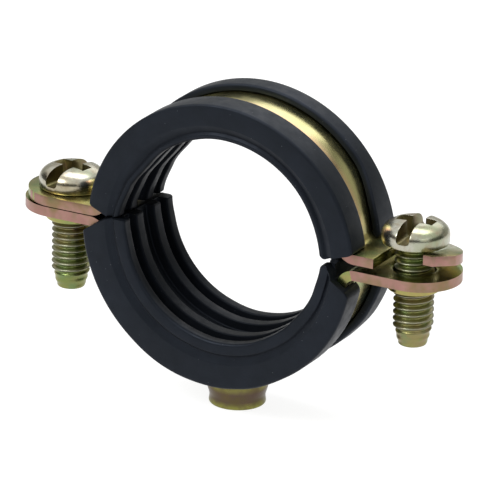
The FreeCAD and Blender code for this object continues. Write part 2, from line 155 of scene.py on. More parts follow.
RIB_DRAFT = 0.2
RIB_EDGE_ROUND = 0.22
RIB_FOOT_ROUND = 0.3
CREASE_R = BAND_INNER_R - 0.6
CREASE_ROUND = 0.5
GROOVE_R = BAND_INNER_R - 1.8
GROOVE_DEPTH = 0.5
GROOVE_WIDTH = 0.4
GROOVE_ROUND = 0.1
GROOVE_EDGE_ROUND = 0.3
BOSS_RUBBER_CLEARANCE = 0.25

# Lining ends, left and right, with the cheeks and lips cut back round the bends.
# Each cut is a list of (distance from the pipe's axis, distance from the end face).
LOWER_ENDS = (0.35, -0.05)
LOWER_END_ROUNDS = (0.25, 0.7)
LOWER_CUTS = (((17.8, 0.0), (19.6, 0.4), (22.2, 2.4), (23.4, 3.3)),
              ((18.35, 0.0), (18.85, 2.0), (22.1, 4.15), (23.4, 5.0)))
UPPER_ENDS = (0.55, 0.7)
UPPER_END_ROUNDS = (0.2, 0.6)
UPPER_CUTS = (((17.8, 0.0), (19.6, -0.2), (20.4, 0.3), (22.1, 1.5), (23.1, 2.4)),
              ((17.4, 0.0), (23.1, 1.75)))

# How far the rubber strays from a true arc: (degrees from the crown, millimetres outwards),
# with the inside's strays fading out towards the band and leaning along the pipe
INSIDE_STRAY_R = 19.0
LIP_STRAY_R = BAND_OUTER_R + 0.09
LOWER_INSIDE = ((-90, -0.15), (-76, -0.42), (-20, -0.35), (0, -0.22), (30, -0.1), (50, 0.08),
                (75, 0.7), (90, 1.1))
LOWER_INSIDE_LEAN = -0.04
LOWER_FRONT_LIP = ((-90, 0.28), (-45, 0.26), (-25, 0.4), (0, 0.25), (13, 0.1), (38, -0.3), (90, -0.36))
LOWER_BACK_LIP = ((-90, 0.0), (0, -0.2), (38, -0.55), (52, -0.5), (70, -0.2), (90, 0.0))
UPPER_INSIDE = ((-90, 0.5), (-72, 0.0), (-55, -0.45), (-35, -0.1), (0, 0.22), (45, 0.3),
                (80, 0.1), (90, 0.1))
UPPER_INSIDE_LEAN = 0.0
UPPER_FRONT_LIP = ((-90, 0.05), (-10, -0.01), (25, -0.01), (60, 0.2), (90, 0.2))
UPPER_BACK_LIP = ((-90, 0.0), (-10, -0.01), (90, -0.05))

# How far the back lip's inner wall comes forward: (degrees from the crown, millimetres)
BACK_WALL_LIMIT_Y = 5.0
LOWER_BACK_WALL = ((-90, 0.0), (90, 0.0))
UPPER_BACK_WALL = ((-90, 0.0), (55, 0.0), (80, 1.6), (90, 1.9))

# Rod boss
BOSS_TOP_R = 4.6
BOSS_WAIST_R = 4.14
BOSS_WAIST_HEIGHT = 1.25
BOSS_WAIST_ROUND = 1.8
BOSS_SHOULDER_HEIGHT = 2.7
BOSS_SHOULDER_ROUND = 1.5
BOSS_FOOT_R = 4.33
BOSS_FOOT_ROUND = 0.32
BOSS_BOTTOM_Z = -(BAND_OUTER_R + 6.4)
BOSS_THREAD_MINOR_R = 2.5
BOSS_THREAD_LEAD = 0.8
BOSS_MOUTH_R = THREAD_MAJOR_R + 0.1
BOSS_MOUTH_HEIGHT = 0.12
BOSS_BAND_OVERLAP = 0.08
BOSS_SEAT_Z = -19.6

# Camera, fitted to the photograph
PICTURE_PX = 490
FOCAL_PX = 6102
SHIFT_PX = (3.99, -7.44)
SENSOR_WIDTH = 36.0
CAMERA_AZIMUTH = math.radians(28.1)
CAMERA_ELEVATION = math.radians(20.2)
CAMERA_ROLL = math.radians(1.3)
CAMERA_DISTANCE = 900.0
CAMERA_TARGET_Z = -1.45

# Steps round a hole, round a screw or the boss, and along a lining
HOLE_STEPS = 72
TURNED_STEPS = 96
LINING_STEPS = 150


def add_node(tree, kind, sockets=None, **settings):
    """Adds a node to a tree, with its settings, and sets or links its input sockets."""
    node = tree.nodes.new(kind)
    for name, value in settings.items():
        setattr(node, name, value)
    for name, value in (sockets or {}).items():
        if isinstance(value, bpy.types.NodeSocket):
            tree.links.new(value, node.inputs[name])
        else:
            node.inputs[name].default_value = value
    return node


def colour(hex_code):
    """Linear RGBA of an sRGB hex colour."""
    parts = [int(hex_code[i:i + 2], 16) / 255 for i in (1, 3, 5)]
    linear = [p / 12.92 if p <= 0.04045 else ((p + 0.055) / 1.055) ** 2.4 for p in parts]
    return (*linear, 1.0)


# Meshes

def new_piece(name, points, faces):
    """Mesh object from points in millimetres, with its place in its mesh."""
    mesh = bpy.data.meshes.new(name)
    mesh.from_pydata([(x * MM, y * MM, z * MM) for x, y, z in points], [], faces)
    piece = bpy.data.objects.new(name, mesh)
    bpy.context.scene.collection.objects.link(piece)
    return piece


def apply_modifiers(piece):
    """Keeps the piece's evaluated mesh as its own and removes the modifiers."""
    evaluated = piece.evaluated_get(bpy.context.evaluated_depsgraph_get())
    mesh = bpy.data.meshes.new_from_object(evaluated)
    piece.modifiers.clear()
    piece.data = mesh
    return mesh


def finish_mesh(piece, smooth_deg=40):
    """Applies the piece's modifiers, turns its faces outwards and smooths it up to an angle."""
    mesh = apply_modifiers(piece)
    shape = bmesh.new()
    shape.from_mesh(mesh)
    bmesh.ops.remove_doubles(shape, verts=shape.verts, dist=1e-7)
    bmesh.ops.recalc_face_normals(shape, faces=shape.faces)
    shape.to_mesh(mesh)
    shape.free()
    mesh.shade_smooth()
    mesh.set_sharp_from_angle(angle=math.radians(smooth_deg))
    return piece


def lathe(profile, steps):
    """Points and faces of a closed surface of revolution about Z; the profile's ends are on the axis."""
    points = [(0, 0, profile[0][1])]
    faces = []
    rings = profile[1:-1]
    for radius, z in rings:
        for k in range(steps):
            angle = TURN * k / steps
            points.append((radius * math.cos(angle), radius * math.sin(angle), z))
    points.append((0, 0, profile[-1][1]))
    last = len(points) - 1
    for k in range(steps):
        following = (k + 1) % steps
        faces.append((0, 1 + following, 1 + k))
        for j in range(len(rings) - 1):
            low, high = 1 + j * steps, 1 + (j + 1) * steps
            faces.append((low + k, low + following, high + following, high + k))
        top = 1 + (len(rings) - 1) * steps
        faces.append((last, top + k, top + following))
    return points, faces


def turned_faces(count, steps):
    """Faces of a closed surface of revolution whose outline has count points."""
    faces = []
    for j in range(count):
        low, high = j * steps, (j + 1) % count * steps
        for k in range(steps):
            following = (k + 1) % steps
            faces.append((low + k, low + following, high + following, high + k))
    return faces


def arc_points(centre, radius, start_deg, end_deg, steps):
    """Points on an arc, both ends included."""
    points = []
    for k in range(steps + 1):
        angle = math.radians(start_deg + (end_deg - start_deg) * k / steps)
        points.append((centre[0] + radius * math.cos(angle), centre[1] + radius * math.sin(angle)))
    return points


def rounded_outline(corners, steps=5):
    """Closed outline through corners (u, v, radius), each rounded by a tangent arc."""
    outline = []
    for i, (u, v, radius) in enumerate(corners):
        corner = Vector((u, v))
        before = (Vector(corners[i - 1][:2]) - corner).normalized()
        after = (Vector(corners[(i + 1) % len(corners)][:2]) - corner).normalized()
        if radius <= 0:
            outline.append((u, v))
            continue
        half = before.angle(after) / 2
        middle = (before + after).normalized()
        centre = corner + middle * (radius / math.sin(half))
        start = corner + before * (radius / math.tan(half)) - centre
        end = corner + after * (radius / math.tan(half)) - centre
        sweep = start.angle_signed(end)
        for k in range(steps + 1):
            spoke = start.copy()
            spoke.rotate(Matrix.Rotation(-sweep * k / steps, 2))
            outline.append(tuple(centre + spoke))
    return outline


def prism(name, outline, low, high):
    """Upright prism with the given XY outline."""
    count = len(outline)
    points = [(x, y, low) for x, y in outline] + [(x, y, high) for x, y in outline]
    faces = [tuple(reversed(range(count))), tuple(range(count, 2 * count))]
    faces += [(k, (k + 1) % count, count + (k + 1) % count, count + k) for k in range(count)]
    return finish_mesh(new_piece(name, points, faces))


def cut(piece, cutter):
    """Cuts a cutter, which is used up, out of the piece."""
    step = piece.modifiers.new("cut", "BOOLEAN")
    step.operation = "DIFFERENCE"
    step.solver = "EXACT"
    step.object = cutter
    apply_modifiers(piece)
    bpy.data.objects.remove(cutter)
    return piece


def soften_edges(piece, width, segments=2, limit_deg=40):
    """Rounds the piece's edges that are sharper than the limit."""
    step = piece.modifiers.new("edge_round", "BEVEL")
    step.width = width * MM
    step.segments = segments
    step.limit_method = "ANGLE"
    step.angle_limit = math.radians(limit_deg)
    step.miter_outer = "MITER_ARC"
    return piece


def place(piece, x, z, turn=0.0):
    """Moves a piece made round the Z axis to its place, in its mesh."""
    piece.data.transform(Matrix.Translation((x * MM, 0, z * MM)) @ Matrix.Rotation(turn, 4, "Z"))
    return piece


def join(name, pieces):
    """One piece from several, with their materials kept."""
    shape = bmesh.new()
    slots = []
    for piece in pieces:
        start = len(shape.faces)
        shape.from_mesh(piece.data)
        shape.faces.ensure_lookup_table()
        for face in shape.faces[start:]:
            finish = piece.data.materials[face.material_index]
            if finish not in slots:
                slots.append(finish)
            face.material_index = slots.index(finish)
    mesh = bpy.data.meshes.new(name)
    shape.to_mesh(mesh)
    shape.free()
    for finish in slots:
        mesh.materials.append(finish)
    for piece in pieces:
        bpy.data.objects.remove(piece)
    joined = bpy.data.objects.new(name, mesh)
    bpy.context.scene.collection.objects.link(joined)
    return joined


# Materials

def empty_material(name):
    """New material and its node tree, with nothing in it."""
    material = bpy.data.materials.new(name)
    material.use_nodes = True
    material.node_tree.nodes.clear()
    return material, material.node_tree


def new_finish(name):
    """Material with a Principled shader; gives its tree, the shader and object coordinates in mm."""
    material, tree = empty_material(name)
    shader = add_node(tree, "ShaderNodeBsdfPrincipled")
    add_node(tree, "ShaderNodeOutputMaterial", {"Surface": shader.outputs["BSDF"]})
    where = add_node(tree, "ShaderNodeTexCoord")
    scaled = add_node(tree, "ShaderNodeVectorMath", {0: where.outputs["Object"], "Scale": 1 / MM},
                      operation="SCALE")
    return material, tree, shader, scaled.outputs[0]


def noise(tree, where, size_mm, detail=2.0, roughness=0.5):
    """Noise whose blotches are about size_mm across."""
    node = add_node(tree, "ShaderNodeTexNoise",
                    {"Vector": where, "Scale": 1 / size_mm, "Detail": detail, "Roughness": roughness})
    return node.outputs["Fac"]


def ramp(tree, value, stops):
    """Colour ramp with (position, hex) stops."""
    node = add_node(tree, "ShaderNodeValToRGB", {"Fac": value})
    bar = node.color_ramp
    bar.elements[0].position, bar.elements[0].color = stops[0][0], colour(stops[0][1])
    bar.elements[1].position, bar.elements[1].color = stops[-1][0], colour(stops[-1][1])
    for position, code in stops[1:-1]:
        bar.elements.new(position).color = colour(code)
    return node.outputs["Color"]


def span(tree, value, from_low, from_high, to_low, to_high):
    """Value mapped from one range to another."""
    return add_node(tree, "ShaderNodeMapRange", {"Value": value, "From Min": from_low, "From Max": from_high,
                                                 "To Min": to_low, "To Max": to_high}).outputs["Result"]


def mix(tree, share, first, second):
    """Mix of two colours."""
    node = add_node(tree, "ShaderNodeMix", {"Factor": share}, data_type="RGBA")
    for socket, value in ((node.inputs[6], first), (node.inputs[7], second)):
        if isinstance(value, bpy.types.NodeSocket):
            tree.links.new(value, socket)
        else:
            socket.default_value = value
    return node.outputs[2]


def passivated_zinc(name, stops, tint, roughness, blotch_mm=2.2, vary=None):
    """Zinc plate with a yellow passivation: its film's thickness drifts, which gives cloudy tints."""
    material, tree, shader, where = new_finish(name)
    drift = noise(tree, where, 6.0, 3.0, 0.55)
    film = ramp(tree, drift, stops)
    blush = span(tree, noise(tree, where, blotch_mm, 2.0), 0.45, 0.7, 0.0, 0.6)
    film = mix(tree, blush, film, colour(tint))
    if vary:
        film = vary(tree, where, film)
    tree.links.new(film, shader.inputs["Base Color"])
    shader.inputs["Metallic"].default_value = 1.0
    rough = span(tree, noise(tree, where, 2.5, 1.0), 0.3, 0.7, roughness - 0.03, roughness + 0.05)
    tree.links.new(rough, shader.inputs["Roughness"])
    return material


def gold_and_highlight_on_the_crown(tree, where, film):
    """The strap round the pipe is golden and lighter towards its crown, partly the film's tint and partly a
    painted highlight: pinkish at its front, greenish at its back.
    """
    place_of = add_node(tree, "ShaderNodeSeparateXYZ", {0: where}).outputs
    gold_and_highlight = mix(tree, span(tree, place_of["Y"], -2.0, 0.7, 0.0, 1.0), colour("#f0b8a0"), colour("#cfc88e"))
    # Painted highlight: above z 2 mm the film is mixed towards the light gold, most strongly at the crown.
    return mix(tree, span(tree, place_of["Z"], 2.0, 7.0, 0.0, 0.85), film, gold_and_highlight)


def bright_on_the_crests(tree, where, film):
    """The thread's crests are painted a lighter grey, partly burnished metal and partly a painted highlight;
    its roots keep an olive film.
    """
    place_of = add_node(tree, "ShaderNodeSeparateXYZ", {0: where}).outputs
    side = add_node(tree, "ShaderNodeMath", {0: place_of["X"]}, operation="ABSOLUTE").outputs[0]
    off = add_node(tree, "ShaderNodeMath", {0: side, 1: SCREW_HALF_SPACING}, operation="SUBTRACT").outputs[0]
    across = add_node(tree, "ShaderNodeCombineXYZ", {"X": off, "Y": place_of["Y"]}).outputs[0]
    radius = add_node(tree, "ShaderNodeVectorMath", {0: across}, operation="LENGTH").outputs["Value"]
    # Painted highlight, partly burnished metal: towards the crests' radius the film is mixed towards light
    # grey.
    crest_wear_and_highlight = span(tree, radius, THREAD_NECK_R, THREAD_MAJOR_R - 0.05, 0.0, 0.65)
    return mix(tree, crest_wear_and_highlight, film, colour("#969488"))


def green_and_highlight_at_the_rims(tree, where, film):
    """The boss is brownish at its waist and yellow-green under the rubber; at its foot the lighter
    yellow-green is partly the film's tint and partly a painted highlight on the upward-facing flare.
    """
    height = add_node(tree, "ShaderNodeSeparateXYZ", {0: where}).outputs["Z"]
    # Painted highlight: the flare just above the foot is mixed towards the light yellow-green.
    foot = span(tree, height, BOSS_BOTTOM_Z + 0.4, BOSS_BOTTOM_Z + 1.15, 0.8, 0.0)
    neck = span(tree, height, BOSS_BOTTOM_Z + 2.5, BOSS_BOTTOM_Z + 3.2, 0.0, 0.5)
    rim_tint_and_highlight = add_node(tree, "ShaderNodeMath", {0: foot, 1: neck}, operation="MAXIMUM").outputs[0]
    patchy = span(tree, noise(tree, where, 1.6, 2.0), 0.35, 0.6, 0.4, 1.0)
    share = add_node(tree, "ShaderNodeMath", {0: rim_tint_and_highlight, 1: patchy}, operation="MULTIPLY").outputs[0]
    return mix(tree, share, film, colour("#8c8c46"))


def moulded_rubber(name):
    """Moulded EPDM rubber: matt, nearly black with a grey-blue bloom, fine grain and dust specks, with
    painted shade on its inside.
    """
    material, tree, shader, where = new_finish(name)
    bloom = ramp(tree, noise(tree, where, 7.0, 4.0, 0.6), ((0.3, "#0c0f13"), (0.72, "#181c23")))
    dust = add_node(tree, "ShaderNodeTexVoronoi", {"Vector": where, "Scale": 1 / 1.3, "Randomness": 1.0})
    speck = span(tree, dust.outputs["Distance"], 0.03, 0.06, 0.3, 0.0)
    bloom = mix(tree, speck, bloom, colour("#9aa0a6"))
    # Painted shade: inside the groove's radius, away from the cheeks, the rubber is darkened to near-black
    # and its specular lowered, for the shade between the ribs.
    place_of = add_node(tree, "ShaderNodeSeparateXYZ", {0: where}).outputs
    flat = add_node(tree, "ShaderNodeCombineXYZ", {"X": place_of["X"], "Y": place_of["Z"]}).outputs[0]
    radius = add_node(tree, "ShaderNodeVectorMath", {0: flat}, operation="LENGTH").outputs["Value"]
    inside = span(tree, radius, GROOVE_R - 0.4, GROOVE_R + 0.2, 0.65, 0.0)
    off_cheek = add_node(tree, "ShaderNodeMath", {0: place_of["Y"]}, operation="ABSOLUTE").outputs[0]
    inside = add_node(tree, "ShaderNodeMath", {0: inside, 1: span(tree, off_cheek, 6.3, 7.0, 1.0, 0.0)},
                      operation="MULTIPLY").outputs[0]
    bloom = mix(tree, inside, bloom, colour("#050608"))
    tree.links.new(span(tree, inside, 0.0, 0.65, 0.36, 0.16), shader.inputs["Specular IOR Level"])
    tree.links.new(bloom, shader.inputs["Base Color"])
    rough = span(tree, noise(tree, where, 1.6, 4.0, 0.6), 0.3, 0.7, 0.42, 0.58)
    tree.links.new(rough, shader.inputs["Roughness"])
    shader.inputs["Specular Tint"].default_value = colour("#bcc8dc")
    grain = add_node(tree, "ShaderNodeBump", {"Height": noise(tree, where, 0.3, 3.0, 0.6),
                                              "Strength": 0.25, "Distance": 0.03 * MM})
    tree.links.new(grain.outputs["Normal"], shader.inputs["Normal"])
    return material


BAND_SHEET = passivated_zinc("passivated_zinc_sheet",
                             ((0.3, "#668450"), (0.45, "#8a9058"), (0.6, "#a89c5c"), (0.75, "#7f906a")),
                             "#a4905c", 0.22, vary=gold_and_highlight_on_the_crown)
SHEARED_EDGE = passivated_zinc("passivated_sheared_edge",
                               ((0.35, "#9a736a"), (0.5, "#a47e74"), (0.62, "#8c7458"), (0.72, "#787850")),
                               "#8a7860", 0.36, blotch_mm=1.0)
HEAD_STEEL = passivated_zinc("passivated_head_steel",
                             ((0.3, "#999e82"), (0.5, "#b6b5a8"), (0.7, "#a89e84")), "#9a8a74", 0.26,
                             blotch_mm=1.2)
RECESS_STEEL = passivated_zinc("passivated_recess_steel",
                               ((0.3, "#665f38"), (0.5, "#77704c"), (0.7, "#5c603c")), "#745e4c", 0.34,
                               blotch_mm=1.2)
THREAD_STEEL = passivated_zinc("passivated_thread_steel",
                               ((0.3, "#76824c"), (0.5, "#8c8656"), (0.7, "#8a775e")), "#6d8458", 0.36,
                               blotch_mm=1.4, vary=bright_on_the_crests)
BOSS_STEEL = passivated_zinc("passivated_boss_steel",
                             ((0.3, "#524035"), (0.5, "#5c4d42"), (0.7, "#5a5234")), "#625436", 0.3,
                             vary=green_and_highlight_at_the_rims)
LINING_RUBBER = moulded_rubber("moulded_epdm_rubber")


# Band shapes

def strip_stations(side, centre_z, left_z, right_z, reach):
    """Cross-sections along a band: (pipe side point, outer side point, half width) from left to right."""
    round_steps, flat_steps, bend_steps, crown_steps = 21, 10, 10, 120
    bend_outer_r = BEND_INNER_R + BAND_THICKNESS
    halves = []
    for end, face_z, far in ((-1, left_z, reach[0]), (1, right_z, reach[1])):
        stations = []
        back_z = face_z + side * BAND_THICKNESS
        bend_z = back_z + side * BEND_INNER_R
        bend_x = math.sqrt((BAND_OUTER_R + BEND_INNER_R) ** 2 - (bend_z - centre_z) ** 2)
        round_x = SCREW_HALF_SPACING + far - BAND_HALF_WIDTH
        for k in range(round_steps + 1):
            angle = math.radians(88) * (1 - k / round_steps)
            x = round_x + BAND_HALF_WIDTH * math.sin(angle)
            stations.append(((end * x, face_z), (end * x, back_z), BAND_HALF_WIDTH * math.cos(angle)))
        for k in range(1, flat_steps):
            x = round_x + (bend_x - round_x) * k / flat_steps
            stations.append(((end * x, face_z), (end * x, back_z), BAND_HALF_WIDTH))
        to_centre = math.atan2(centre_z - bend_z, -bend_x)
        to_ear = math.atan2(-side, 0)
        turn = (to_centre - to_ear + math.pi) % TURN - math.pi
        for k in range(bend_steps + 1):
            angle = to_ear + turn * k / bend_steps
            near = (bend_x + BEND_INNER_R * math.cos(angle), bend_z + BEND_INNER_R * math.sin(angle))
            wide = (bend_x + bend_outer_r * math.cos(angle), bend_z + bend_outer_r * math.sin(angle))
            stations.append(((end * wide[0], wide[1]), (end * near[0], near[1]), BAND_HALF_WIDTH))
        halves.append((stations, math.atan2(bend_z - centre_z, end * bend_x)))
    (left, left_angle), (right, right_angle) = halves
    sweep = (right_angle - left_angle) % TURN
    if side > 0:
        sweep -= TURN
    crown = []
    for k in range(1, crown_steps):
        angle = left_angle + sweep * k / crown_steps
        crown.append(((BAND_INNER_R * math.cos(angle), centre_z + BAND_INNER_R * math.sin(angle)),
                      (BAND_OUTER_R * math.cos(angle), centre_z + BAND_OUTER_R * math.sin(angle)),
                      BAND_HALF_WIDTH))
    return left + crown + list(reversed(right))


def band_blank(name, stations):
    """Closed strip through its cross-sections."""
    points, faces = [], []
    for inner, outer, half in stations:
        points += [(inner[0], -half, inner[1]), (inner[0], half, inner[1]),
                   (outer[0], half, outer[1]), (outer[0], -half, outer[1])]
    for k in range(len(stations) - 1):
        a, b = 4 * k, 4 * (k + 1)
        for j in range(4):
            faces.append((a + j, a + (j + 1) % 4, b + (j + 1) % 4, b + j))
    end = 4 * (len(stations) - 1)
    faces += [(3, 2, 1, 0), (end, end + 1, end + 2, end + 3)]
    return finish_mesh(new_piece(name, points, faces))


def round_cutter(name, radius, x, low, high):
    """Upright cylinder for a hole."""
    return prism(name, arc_points((x, 0), radius, 0, 360, HOLE_STEPS)[:-1], low, high)


def paint_edges(piece, sheet_stretch):
    """Gives the ears' sheared edges their own finish; holes and the listed stretch keep the sheet's, which
    round the lower band's bend is a painted highlight.
    """
    piece.data.materials.clear()
    piece.data.materials.append(BAND_SHEET)
    piece.data.materials.append(SHEARED_EDGE)
    hole_reach = SLOT_WIDTH / 2 + 0.1
    front_edge_y = 0.8 - BAND_HALF_WIDTH
    for face in piece.data.polygons:
        x, y = face.center.x / MM, face.center.y / MM
        level = abs(face.normal.z) > 0.8
        on_strap = abs(x) < EAR_START_X and abs(face.normal.y) < 0.5
        in_hole = abs(abs(x) - SCREW_HALF_SPACING) < hole_reach and y > front_edge_y
        sheet = level or on_strap or in_hole or sheet_stretch[0] < x < sheet_stretch[1]
        face.material_index = 0 if sheet else 1
    return piece


def drawn_collar(x):
    """Collar drawn out of the lower ear round the tapped hole; its foot is sunk into the sheet."""
    under = LOWER_EAR_Z - BAND_THICKNESS
    tip_z = under - COLLAR_HEIGHT
    foot_z = under + 0.5
    spread_z = under + 0.02
    outline = [(TAPPED_HOLE_R, foot_z), (COLLAR_SPREAD_R, foot_z), (COLLAR_SPREAD_R, spread_z)]
    outline += arc_points((COLLAR_ROOT_R + COLLAR_ROOT_ROUND, under - COLLAR_ROOT_ROUND),
                          COLLAR_ROOT_ROUND, 90, 170, 6)
    outline += [(COLLAR_TIP_R, tip_z + COLLAR_TIP_LAND)]
    outline += arc_points((COLLAR_TIP_R - COLLAR_TIP_ROUND, tip_z + COLLAR_TIP_ROUND),
                          COLLAR_TIP_ROUND, -10, -90, 5)
    outline += [(TAPPED_HOLE_R, tip_z)]
    ring = arc_points((0, 0), 1.0, 0, 360, HOLE_STEPS)[:-1]
    points = [(x + radius * px, radius * py, z) for radius, z in outline for px, py in ring]
    collar = finish_mesh(new_piece("collar", points, turned_faces(len(outline), HOLE_STEPS)))
    collar.data.materials.append(BAND_SHEET)
    return collar


def entry_cutter(x):
    """Cutter for the rounded entry of a tapped hole."""
    rim_r = TAPPED_HOLE_R + HOLE_ENTRY_ROUND
    over_z = LOWER_EAR_Z + 0.5
    profile = [(0, over_z), (rim_r + 0.3, over_z)]
    for degrees in (90, 112, 135, 157, 180):
        angle = math.radians(degrees)
        profile.append((rim_r + HOLE_ENTRY_ROUND * math.cos(angle),
                        LOWER_EAR_Z - HOLE_ENTRY_ROUND + HOLE_ENTRY_ROUND * math.sin(angle)))
    profile += [(0, LOWER_EAR_Z - HOLE_ENTRY_ROUND)]
    points, faces = lathe(profile, HOLE_STEPS)
    return place(finish_mesh(new_piece("entry", points, faces)), x, 0)


def lower_band():
    """Lower band with its tapped ears."""
    stations = strip_stations(-1, 0.0, LOWER_EAR_Z, LOWER_EAR_Z, LOWER_REACH)
    band = band_blank("lower_band_steel", stations)
    screws_x = (-SCREW_HALF_SPACING, SCREW_HALF_SPACING)
    for x in screws_x:
        band = cut(band, round_cutter("hole", TAPPED_HOLE_R, x, -4, 1))
        band = cut(band, entry_cutter(x))
    band = finish_mesh(soften_edges(band, SHEARED_EDGE_ROUND))
    band = paint_edges(band, LOWER_HIGHLIGHT_EDGE)
    return join("lower_band_steel", [band] + [drawn_collar(x) for x in screws_x])


def lean_finger(piece):
    """Twists the side-open ear: the finger beyond the slot rises and leans up towards the front."""
    start_x = SLOT_CENTRE_X - SLOT_WIDTH / 2
    twist_length = SLOT_WIDTH - 0.1
    for point in piece.data.vertices:
        x, y = point.co.x / MM, point.co.y / MM
        share = min(max((x - start_x) / twist_length, 0.0), 1.0)
        point.co.z += share * (FINGER_RISE - y * FINGER_LEAN) * MM
    return piece


def upper_band():
    """Upper band: a round hole in the left ear, a side-open slot in the right one."""
    low, high = -1.0, 3.5
    beyond_x, beyond_y = 40.0, -9.0
    stations = strip_stations(1, -UPPER_CENTRE_DROP, UPPER_LEFT_EAR_Z, UPPER_RIGHT_EAR_Z, UPPER_REACH)
    band = band_blank("upper_band_steel", stations)
    band = cut(band, round_cutter("hole", EAR_HOLE_R, -SCREW_HALF_SPACING, -1.5, 2.5))
    half = SLOT_WIDTH / 2
    slot = [(SLOT_CENTRE_X + half, beyond_y)]
    slot += arc_points((SLOT_CENTRE_X, SLOT_END_Y), half, 0, 180, 28)
    slot += [(SLOT_CENTRE_X - half, beyond_y)]
    band = cut(band, prism("slot", slot, low, high))
    front = [(SLOT_CENTRE_X, beyond_y), (beyond_x, beyond_y), (beyond_x, 0.0), (FINGER_SIDE_X, 0.0),
             (FINGER_CORNER_X, FINGER_FRONT_Y), (SLOT_CENTRE_X, FINGER_FRONT_Y)]
    band = cut(band, prism("front", front, low, high))
    band = lean_finger(band)
    band = finish_mesh(soften_edges(band, SHEARED_EDGE_ROUND))
    return paint_edges(band, UPPER_SHEET_EDGE)


# Lining shapes

def lining_outline(crest_r, lip_r, shift_y):
    """Section of a lining in (radius, y): lips outside, flat cheeks, four ribs inside."""
    half = LINING_HALF_WIDTH
    floor_r = crest_r + RIB_HEIGHT
    reach = RIB_WIDTH / 2
    foot = reach + RIB_DRAFT
    sides = []
    for sign, lip_length in ((1, BACK_LIP_LENGTH), (-1, FRONT_LIP_LENGTH)):
        lip_edge = half - lip_length
        band_side = BAND_HALF_WIDTH + RUBBER_CLEARANCE - sign * shift_y
        sides.append([
            (BAND_INNER_R - RUBBER_CLEARANCE, band_side, SEAT_ROUND),
            (SEAT_R, band_side, SEAT_ROUND),
            (SEAT_R, lip_edge, LIP_FOOT_ROUND),
            (lip_r, lip_edge, LIP_EDGE_ROUND),
            (lip_r, half, LIP_EDGE_ROUND),
            (CREASE_R, half, CREASE_ROUND),
            (GROOVE_R, half - GROOVE_DEPTH, GROOVE_ROUND),
            (GROOVE_R - GROOVE_WIDTH, half - GROOVE_DEPTH / 3, GROOVE_EDGE_ROUND),
            (crest_r, RIM_OFFSET + reach, RIM_OUTER_ROUND),
            (crest_r, RIM_OFFSET - reach, RIM_INNER_ROUND),
            (floor_r, RIM_OFFSET - foot, RIB_FOOT_ROUND),
            (floor_r, RIB_OFFSET + foot, RIB_FOOT_ROUND),
            (crest_r, RIB_OFFSET + reach, RIB_EDGE_ROUND),
            (crest_r, RIB_OFFSET - reach, RIB_EDGE_ROUND),
            (floor_r, RIB_OFFSET - foot, RIB_FOOT_ROUND),
        ])
    back, front = sides
    front = [(r, -y, radius) for r, y, radius in reversed(front)]
    return [(r, y + shift_y) for r, y in rounded_outline(back + front)]


def open_tree(name, shape_name, inputs):
    """Geometry node tree with a shape, the given inputs and a finish; gives it and its input sockets."""
    tree = bpy.data.node_groups.new(name, "GeometryNodeTree")
    for socket, kind in ((shape_name, "Geometry"), *inputs, ("Finish", "Material")):
        tree.interface.new_socket(socket, in_out="INPUT", socket_type="NodeSocket" + kind)
    return tree, add_node(tree, "NodeGroupInput").outputs


def close_tree(tree, geometry, finish):
    """Gives the tree's shape its finish and sends it out."""
    tree.interface.new_socket("Result", in_out="OUTPUT", socket_type="NodeSocketGeometry")
    real = add_node(tree, "GeometryNodeRealizeInstances", {"Geometry": geometry})
    coated = add_node(tree, "GeometryNodeSetMaterial", {
        "Geometry": real.outputs["Geometry"], "Material": finish})
    add_node(tree, "NodeGroupOutput", {"Result": coated.outputs["Geometry"]})
    return tree


def sweep_tree():
    """Geometry nodes that sweep a section along an arc; the section's X is the radius."""
    tree, given = open_tree("swept_section", "Section", (
        ("Arc radius", "Float"), ("Start angle", "Float"), ("Sweep angle", "Float"), ("Steps", "Int")))
    section = add_node(tree, "GeometryNodeMeshToCurve", {"Mesh": given["Section"]})
    arc = add_node(tree, "GeometryNodeCurveArc", {
        "Resolution": given["Steps"], "Radius": given["Arc radius"],
        "Start Angle": given["Start angle"], "Sweep Angle": given["Sweep angle"]}, mode="RADIUS")
    swept = add_node(tree, "GeometryNodeCurveToMesh", {
        "Curve": arc.outputs["Curve"], "Profile Curve": section.outputs["Curve"], "Fill Caps": True})
    return close_tree(tree, swept.outputs["Mesh"], given["Finish"])


def run_tree(piece, tree, values):
    """Runs geometry nodes on a piece with named inputs and keeps the plain mesh."""
    step = piece.modifiers.new("nodes", "NODES")
    step.node_group = tree
    names = {item.name: item.identifier for item in tree.interface.items_tree if item.in_out == "INPUT"}
    for name, value in values.items():
        step[names[name]] = value
    apply_modifiers(piece)


def cut_height(side, end_z, cut_line, x):
    """Height of a lining's end face at x from the pipe's axis."""
    if x <= cut_line[0][0]:
        return end_z
    for (x0, z0), (x1, z1) in zip(cut_line, cut_line[1:]):
        if x <= x1:
            return end_z + side * (z0 + (z1 - z0) * (x - x0) / (x1 - x0))
    return end_z + side * cut_line[-1][1]


def end_angle(side, radius, centre_z, end_z, cut_line):
    """Angle from the crown at which the lining ends at this radius."""
    low, high = math.radians(45), math.radians(115)
    for _ in range(40):
        middle = (low + high) / 2
        x = radius * math.sin(middle)
        z = centre_z + side * radius * math.cos(middle)
        if side * (z - cut_height(side, end_z, cut_line, x)) > 0:
            low = middle
        else:
            high = middle
    return low


def eased(table, at):
    """Value of a table of (place, value) rows at a place, eased from row to row."""
    for (start, first), (end, second) in zip(table, table[1:]):
        if at <= end:
            share = max((at - start) / (end - start), 0.0)
            return first + (second - first) * share * share * (3 - 2 * share)
    return table[-1][1]


